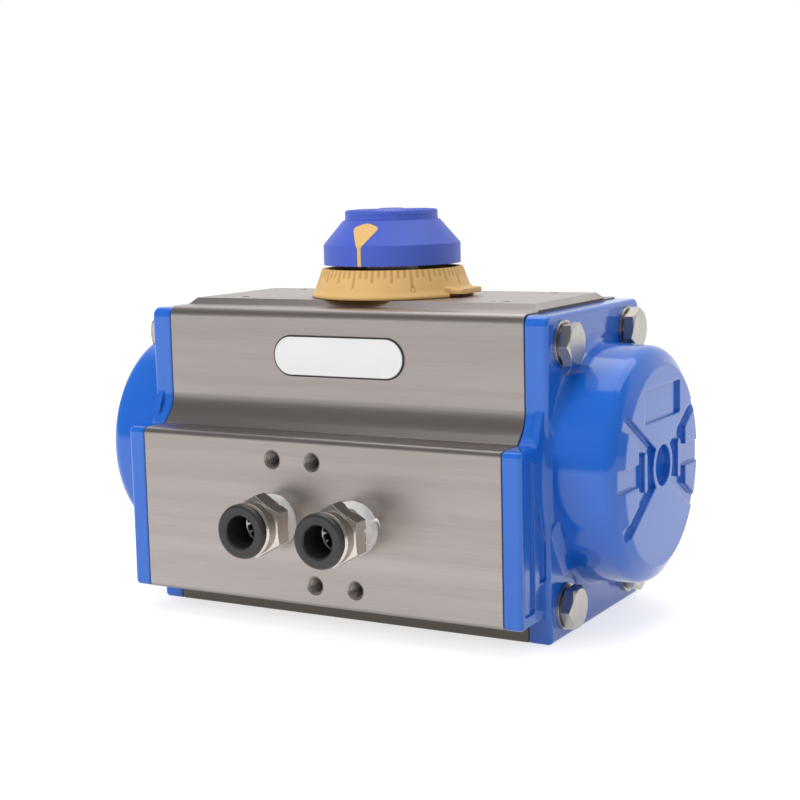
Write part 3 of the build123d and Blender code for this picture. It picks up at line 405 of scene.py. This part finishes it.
def makeCrownRelief(look):
    # Height is a shallow dome over the radius, plus ribs from a raised cosine of the angle inside
    # an outer band and pads from a slower one inside an inner band
    columns = look["ribs"] * 8
    theta = np.linspace(0, 2 * math.pi, columns, endpoint=False)[None, :]
    top = np.array([5.55, 5.6, 5.8, 6.1, 6.3, 6.5, 7.3, 8.1, 8.3, 8.5, 9.0, 9.4, 9.6, 9.9, 10.4, 11.0, 11.5, 11.9,
                    12.15, 12.35, 12.5, 12.58, 12.6])
    drop = np.array([0.5, 0.12, 0.0, 0, 0, 0, 0, 0, 0, 0, 0, 0, 0, 0, 0, 0, 0.01, 0.05, 0.12, 0.24, 0.42, 0.65, 0.95])
    rib = smoothStep(np.cos(look["ribs"] * theta), -0.25, 0.25)
    pad = smoothStep(np.cos(look["pads"] * theta), -0.35, 0.05)
    outer = (smoothStep(top, 9.4, 9.9) * (1 - smoothStep(top, 12.45, 12.62)))[:, None]
    inner = (smoothStep(top, 6.1, 6.5) * (1 - smoothStep(top, 8.1, 8.5)))[:, None]
    rise = look["dome"] * (1 - (top / 12.4) ** 2) - drop
    height = look["crown"] + rise[:, None] + outer * rib * look["ribHeight"] + inner * pad * look["padHeight"]
    radius = top[:, None] + 0.05 * outer * rib
    under = np.array([(12.3, 105.5), (5.55, 106.1)])
    height = np.concatenate([height, np.repeat(under[:, 1, None], columns, 1)])
    radius = np.concatenate([radius * np.ones_like(theta), np.repeat(under[:, 0, None], columns, 1)])
    return np.stack([radius * np.cos(theta), radius * np.sin(theta), height], -1)


makePiece("crown_relief", [makeCrownRelief(crownLook)], "pinion", "blue_plastic")
print("crown relief made")


# Threads in the tapped holes and on the stop screws

holeThreadLook = {
    "radius": 2.1,
    "pitch": 0.8,
    "height": 0.36,
    "start": 0.35,
    "end": 8.3,
    "front": [(-12.0, 44.4), (0.0, 44.4), (0.0, 12.4), (12.0, 12.4)],
    "frontFace": -43.8,
    "top": [(-40.0, -15.0), (-40.0, 15.0), (40.0, -15.0), (40.0, 15.0)],
    "topFace": 83.7,
}
screwThreadLook = {
    "radius": 2.5,
    "pitch": 1.0,
    "height": 0.46,
    "start": 36.0,
    "end": 41.9,
    "places": (-10.0, 10.0),
    "level": 55.2,
}


def makeThread(origin, axis, across, look, inward, columns=36, turns=8):
    # A sleeve whose free wall rises and falls with distance along the axis less a full pitch per
    # turn, so the ridge is a helix; both ends fade, and the other wall lies in the metal
    theta = np.linspace(0, 2 * math.pi, columns, endpoint=False)[None, :]
    along = np.arange(look["start"], look["end"], look["pitch"] / turns)[:, None]
    wave = 0.5 + 0.5 * np.cos(2 * math.pi * along / look["pitch"] - theta)
    fade = smoothStep(along, look["start"], look["start"] + 0.5) * (1 - smoothStep(along, look["end"] - 0.6, look["end"]))
    side = -1 if inward else 1
    free = look["radius"] + side * (0.02 + look["height"] * smoothStep(wave, 0.1, 0.9) * fade)
    back = look["radius"] - side * 0.08 + 0 * free
    radius = np.concatenate([free, back[::-1]])
    along = np.concatenate([along, along[::-1]]) + 0 * radius
    return around(origin, axis, across, theta + 0 * radius, along, radius)


holeThreads = [makeThread((x, holeThreadLook["frontFace"], z), (0, 1, 0), (1, 0, 0), holeThreadLook, True)
               for x, z in holeThreadLook["front"]]
holeThreads += [makeThread((x, y, holeThreadLook["topFace"]), (0, 0, -1), (1, 0, 0), holeThreadLook, True)
                for x, y in holeThreadLook["top"]]
makePiece("hole_threads", holeThreads, "housing", "housing_anodised", sharpAngle=60)
screwThreads = [makeThread((x, 0, screwThreadLook["level"]), (0, 1, 0), (1, 0, 0), screwThreadLook, False)
                for x in screwThreadLook["places"]]
makePiece("screw_threads", screwThreads, "housing", "zinc_steel", sharpAngle=60)
print("threads made")


# Badge: a white plate with a raised lip and a dark ring round it that is painted shade for the gap at its edge, left
# bare

badgeLook = {
    "centre": (0.35, 69.75),
    "wall": -30.2,
    "length": 39.4,
    "height": 10.85,
    "points": 160,
    "lip": 0.42,
}


def stadiumGrid(look, insets, heights):
    # Rows are inset so far from a straight-sided outline with round ends, and stand so high off
    # the wall; an inset of the full radius closes on the line between the ends' centres
    half, radius = (look["length"] - look["height"]) / 2, look["height"] / 2
    straight, arc = 2 * half, math.pi * radius
    t = np.linspace(0, 2 * (straight + arc), look["points"], endpoint=False)
    turn = np.select([t < straight, t < straight + arc, t < 2 * straight + arc],
                     [0 * t, (t - straight) / radius, 0 * t + math.pi],
                     math.pi + (t - 2 * straight - arc) / radius)
    middle = np.select([t < straight, t < straight + arc, t < 2 * straight + arc],
                       [t - half, 0 * t + half, half - (t - straight - arc)], -half)
    out = radius - np.array(insets)[:, None]
    x = look["centre"][0] + middle + out * np.sin(turn)
    z = look["centre"][1] - out * np.cos(turn)
    y = look["wall"] - np.array(heights)[:, None] + 0 * x
    return np.stack([x, y, z], -1)


full = badgeLook["height"] / 2
plate = stadiumGrid(badgeLook,
                    [full, 0.42, 0.42, 0.46, 0.56, 0.70, 0.86, 1.02, 1.4, 3.0, full - 1.0, full],
                    [0.0, 0.0, 0.36, 0.44, 0.49, 0.5, 0.47, 0.42, 0.42, 0.45, 0.46, 0.46])
badge = makePiece("badge", [plate], "housing", "badge_enamel", closeRows=False, sharpAngle=60)
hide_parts("badge_plate")
# painted shade: the low dark ring round the plate stands for the shadow at the plate's edge
edgeShadeGrid = stadiumGrid(badgeLook, [0.5, 0.0, 0.0, 0.06, 0.34, 0.40, 0.5], [0.0, 0.0, 0.22, 0.3, 0.3, 0.12, 0.12])
edgeShadeFinish = makePlastic("paintedBadgeEdgeShade", "#3b3936", "#2e2c2a", 0.6, 0.0003)
makePiece("badge_edge_shade_ring", [edgeShadeGrid], "housing", "badge_enamel", finish=edgeShadeFinish, sharpAngle=60)
print("badge made")


# Sealing tape wound on the fittings' threads, with torn edges

tapeLook = {
    "portFace": -43.8,
    "level": 28.4,
    "inner": 6.6,
    "left": {"x": -12.0, "length": 3.9, "radius": 6.95, "torn": 0.45, "crumple": 0.08, "seed": 3},
    "right": {"x": 12.0, "length": 5.7, "radius": 7.05, "torn": 1.15, "crumple": 0.20, "seed": 11},
}


def wobble(theta, along, seed, lowest, highest):
    # a sum of sines round the axis whose phases drift along it, about -1 to 1
    draw = np.random.default_rng(seed)
    total = 0 * theta + 0 * along
    for waves in range(lowest, highest):
        phase, drift = draw.uniform(0, 2 * math.pi), draw.uniform(-1.4, 1.4)
        total = total + np.sin(waves * theta + phase + drift * along) / math.sqrt(waves)
    return total / 2.2


def makeTape(look, side):
    # Radius is a tube's, wrinkled by a sum of sines; its front edge runs in and out so that torn
    # tatters lap over the hexagon
    own = look[side]
    theta = np.linspace(0, 2 * math.pi, 180, endpoint=False)[None, :]
    share = np.linspace(0, 1, 22)[:, None]
    torn = own["torn"] * (wobble(theta, 0 * theta, own["seed"], 3, 15) * 0.6 + 0.15)
    length = own["length"] + torn
    along = share * length
    wrinkle = wobble(theta, along, own["seed"] + 1, 4, 16) * own["crumple"]
    lap = 0.22 * smoothStep(along, own["length"] - 0.9, own["length"] + 0.2)
    radius = own["radius"] + wrinkle * smoothStep(share, 0.0, 0.15) + lap
    radius = radius + 0.10 * smoothStep(wobble(theta, 2.2 * along, own["seed"] + 2, 2, 6), 0.1, 0.3)
    free = np.concatenate([radius, radius[-1:] - 0.10, radius[-1:] - 0.22])
    along = np.concatenate([along, along[-1:] + 0.03, along[-1:] - 0.05])
    back = np.concatenate([radius[-1:] * 0 + look["inner"], radius[-1:] * 0 + look["inner"]])
    backAlong = np.concatenate([0 * length + own["length"] - 0.6, 0 * length])
    radius = np.concatenate([free, back])
    along = np.concatenate([along, backAlong])
    origin = (own["x"], look["portFace"], look["level"])
    return around(origin, (0, -1, 0), (1, 0, 0), theta + 0 * radius, along, radius)


def makeTapeTail():
    # A torn strand of the right tape: a thin strip of flat section led along a curling path
    t = np.linspace(0, 1, 26)
    path = np.stack([18.3 + 2.6 * t + 0.7 * np.sin(3.2 * t), -45.1 - 1.5 * t ** 2 - 0.5 * np.sin(5 * t),
                     30.9 + 1.0 * np.sin(4.4 * t) - 0.5 * t], -1)
    turn = np.linspace(0, 2 * math.pi, 10, endpoint=False)
    wide = (0.42 * (1 - t ** 3) + 0.05)[:, None] * np.cos(turn)
    thin = 0.10 * np.sin(turn)[None, :] + 0 * wide
    twist = (0.4 + 1.3 * t)[:, None]
    z = wide * np.cos(twist) - thin * np.sin(twist)
    y = wide * np.sin(twist) + thin * np.cos(twist)
    strip = path[:, None, :] + np.stack([0 * y, y, z], -1)
    ends = [path[:1, None, :].repeat(10, 1), strip, path[-1:, None, :].repeat(10, 1)]
    return np.concatenate(ends)


for side in ("left", "right"):
    tape = makePiece("sealing_tape_" + side, [makeTape(tapeLook, side)], "housing", "sealing_tape", sharpAngle=50)
    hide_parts("thread_tape_" + side)
makePiece("sealing_tape_strand", [makeTapeTail()], "housing", "sealing_tape", closeRows=False)
print("tape made")


# Grip teeth: the sharp inner edge of the ring that holds a tube, seen down each fitting

teethLook = {
    "count": 12,
    "outer": 4.6,
    "root": 4.25,
    "tooth": 0.75,
    "level": 28.4,
    "left": {"x": -12.0, "station": -49.2},
    "right": {"x": 12.0, "station": -51.0},
}


def makeTeeth(look, side):
    # An annulus whose inner radius drops by a tooth at each raised cosine, bent along the axis
    # as it nears the middle
    own = look[side]
    theta = np.linspace(0, 2 * math.pi, look["count"] * 12, endpoint=False)[None, :]
    tooth = smoothStep(np.cos(look["count"] * theta), 0.35, 0.9) * look["tooth"]
    inner = look["root"] - tooth
    share = np.array([0, 0.5, 1, 1, 0.5, 0])[:, None]
    thick = np.array([0, 0, 0, 0.22, 0.3, 0.3])[:, None]
    radius = look["outer"] + (inner - look["outer"]) * share
    along = thick + (look["outer"] - radius) * 0.7 - 0.6
    origin = (own["x"], own["station"], look["level"])
    return around(origin, (0, -1, 0), (1, 0, 0), theta + 0 * radius, -along, radius)


for side in ("left", "right"):
    makePiece("grip_teeth_" + side, [makeTeeth(teethLook, side)], "housing", "spring_steel", sharpAngle=35)
print("grip teeth made")

# Camera, worked out from the object's straight edges and hole patterns

cameraLook = {
    "azimuth": 29.63,
    "elevation": 7.73,
    "roll": -1.34,
    "distance": 0.4518,
    "focal": 1612.0,
    "pixels": 800,
    "sideways": -0.0001,
    "up": 0.0542,
}


def placeCamera(look):
    az, el, roll = (math.radians(look[k]) for k in ("azimuth", "elevation", "roll"))
    back = Vector((math.sin(az) * math.cos(el), -math.cos(az) * math.cos(el), math.sin(el)))
    right = Vector((math.cos(az), math.sin(az), 0))
    up = back.cross(right)
    c, s = math.cos(roll), math.sin(roll)
    turnedRight = right * c + up * s
    turnedUp = up * c - right * s
    data = bpy.data.cameras.new("photoCamera")
    data.sensor_width = 36.0
    data.lens = look["focal"] / look["pixels"] * data.sensor_width
    camera = bpy.data.objects.new("photoCamera", data)
    bpy.context.scene.collection.objects.link(camera)
    place = back * look["distance"] + turnedRight * look["sideways"] + turnedUp * look["up"]
    camera.matrix_world = Matrix((
        (turnedRight.x, turnedUp.x, back.x, place.x),
        (turnedRight.y, turnedUp.y, back.y, place.y),
        (turnedRight.z, turnedUp.z, back.z, place.z),
        (0, 0, 0, 1),
    ))
    bpy.context.scene.camera = camera
    return camera


placeCamera(cameraLook)

# Floor, world and lamps

stageLook = {
    "floorSize": 8.0,
    "floorGlow": 0.66,
    "floorShade": 0.55,
    "floorBounce": 0.75,
    "worldLight": 0.70,
    "roomDark": 0.22,
    "wallFrom": 0.05,
    "wallTo": 0.5,
}


def makeFloor(look):
    # White paper: what a camera or a mirror sees is lifted to white but keeps the object's shadow
    half = look["floorSize"] / 2
    mesh = bpy.data.meshes.new("floor")
    mesh.from_pydata([(-half, -half, 0), (half, -half, 0), (half, half, 0), (-half, half, 0)], [], [(0, 1, 2, 3)])
    floor = bpy.data.objects.new("floor", mesh)
    bpy.context.scene.collection.objects.link(floor)
    material = bpy.data.materials.new("whitePaper")
    material.use_nodes = True
    tree = material.node_tree
    tree.nodes.clear()
    path = addNode(tree, "ShaderNodeLightPath")
    mirrored = addNode(tree, "ShaderNodeMath", {"operation": "MAXIMUM"},
                       {0: path.outputs["Is Glossy Ray"], 1: path.outputs["Is Transmission Ray"]})
    seen = addNode(tree, "ShaderNodeMath", {"operation": "MAXIMUM"},
                   {0: path.outputs["Is Camera Ray"], 1: mirrored.outputs[0]})
    shade, bounce = ((look[k],) * 3 + (1,) for k in ("floorShade", "floorBounce"))
    paper = addNode(tree, "ShaderNodeBsdfDiffuse", {"Color": bounce})
    faint = addNode(tree, "ShaderNodeBsdfDiffuse", {"Color": shade})
    glow = addNode(tree, "ShaderNodeEmission", {"Color": (1, 1, 1, 1), "Strength": look["floorGlow"]})
    lifted = addNode(tree, "ShaderNodeAddShader", links={0: faint.outputs[0], 1: glow.outputs[0]})
    mix = addNode(tree, "ShaderNodeMixShader", links={0: seen.outputs[0], 1: paper.outputs[0], 2: lifted.outputs[0]})
    addNode(tree, "ShaderNodeOutputMaterial", links={"Surface": mix.outputs[0]})
    mesh.materials.append(material)
    return floor


def makeWorld(look):
    # White to the camera; mirrors see the same white behind and low down, and a dim room in front
    world = bpy.data.worlds.new("whiteStudio")
    world.use_nodes = True
    tree = world.node_tree
    tree.nodes.clear()
    path = addNode(tree, "ShaderNodeLightPath")
    toward = addNode(tree, "ShaderNodeSeparateXYZ",
                     links={"Vector": addNode(tree, "ShaderNodeTexCoord").outputs["Generated"]})
    wall = addNode(tree, "ShaderNodeMapRange",
                   {"interpolation_type": "SMOOTHSTEP", "From Min": look["wallFrom"], "From Max": look["wallTo"],
                    "To Min": look["roomDark"], "To Max": 1.0}, {"Value": toward.outputs["Y"]})
    low = addNode(tree, "ShaderNodeMapRange", {"From Min": 0.03, "From Max": 0.0}, {"Value": toward.outputs["Z"]})
    studio = addNode(tree, "ShaderNodeMath", {"operation": "MAXIMUM"}, {0: wall.outputs["Result"], 1: low.outputs["Result"]})
    mirrored = addNode(tree, "ShaderNodeMath", {"operation": "MAXIMUM"},
                       {0: path.outputs["Is Glossy Ray"], 1: path.outputs["Is Transmission Ray"]})
    plain = addNode(tree, "ShaderNodeMix", {"data_type": "FLOAT", 2: look["worldLight"]},
                    {0: mirrored.outputs[0], 3: studio.outputs[0]})
    level = addNode(tree, "ShaderNodeMix", {"data_type": "FLOAT", 3: 1.0},
                    {0: path.outputs["Is Camera Ray"], 2: plain.outputs[0]})
    light = addNode(tree, "ShaderNodeBackground", {"Color": (1, 1, 1, 1)}, {"Strength": level.outputs[0]})
    addNode(tree, "ShaderNodeOutputWorld", links={"Surface": light.outputs[0]})
    bpy.context.scene.world = world


def addLamp(name, place, target, size, power, sheen=True):
    # power is in watts; a lamp without sheen isn't mirrored in gloss or metal
    data = bpy.data.lights.new(name, "AREA")
    data.shape = "RECTANGLE"
    data.size, data.size_y = size
    data.energy = power
    lamp = bpy.data.objects.new(name, data)
    direction = Vector(target) - Vector(place)
    lamp.matrix_world = Matrix.Translation(place) @ direction.to_track_quat("-Z", "Y").to_matrix().to_4x4()
    lamp.visible_camera = False
    lamp.visible_glossy = sheen
    bpy.context.scene.collection.objects.link(lamp)
    return lamp


makeFloor(stageLook)
makeWorld(stageLook)
addLamp("overheadBox", (0.0, 0.14, 0.75), (0, 0, 0.05), (0.75, 0.6), 2.26)
addLamp("frontFill", (-0.5, -0.9, 0.55), (0, 0, 0.05), (0.6, 0.6), 5.2, sheen=False)
bpy.context.scene.view_settings.view_transform = "Standard"
print("camera and stage set")
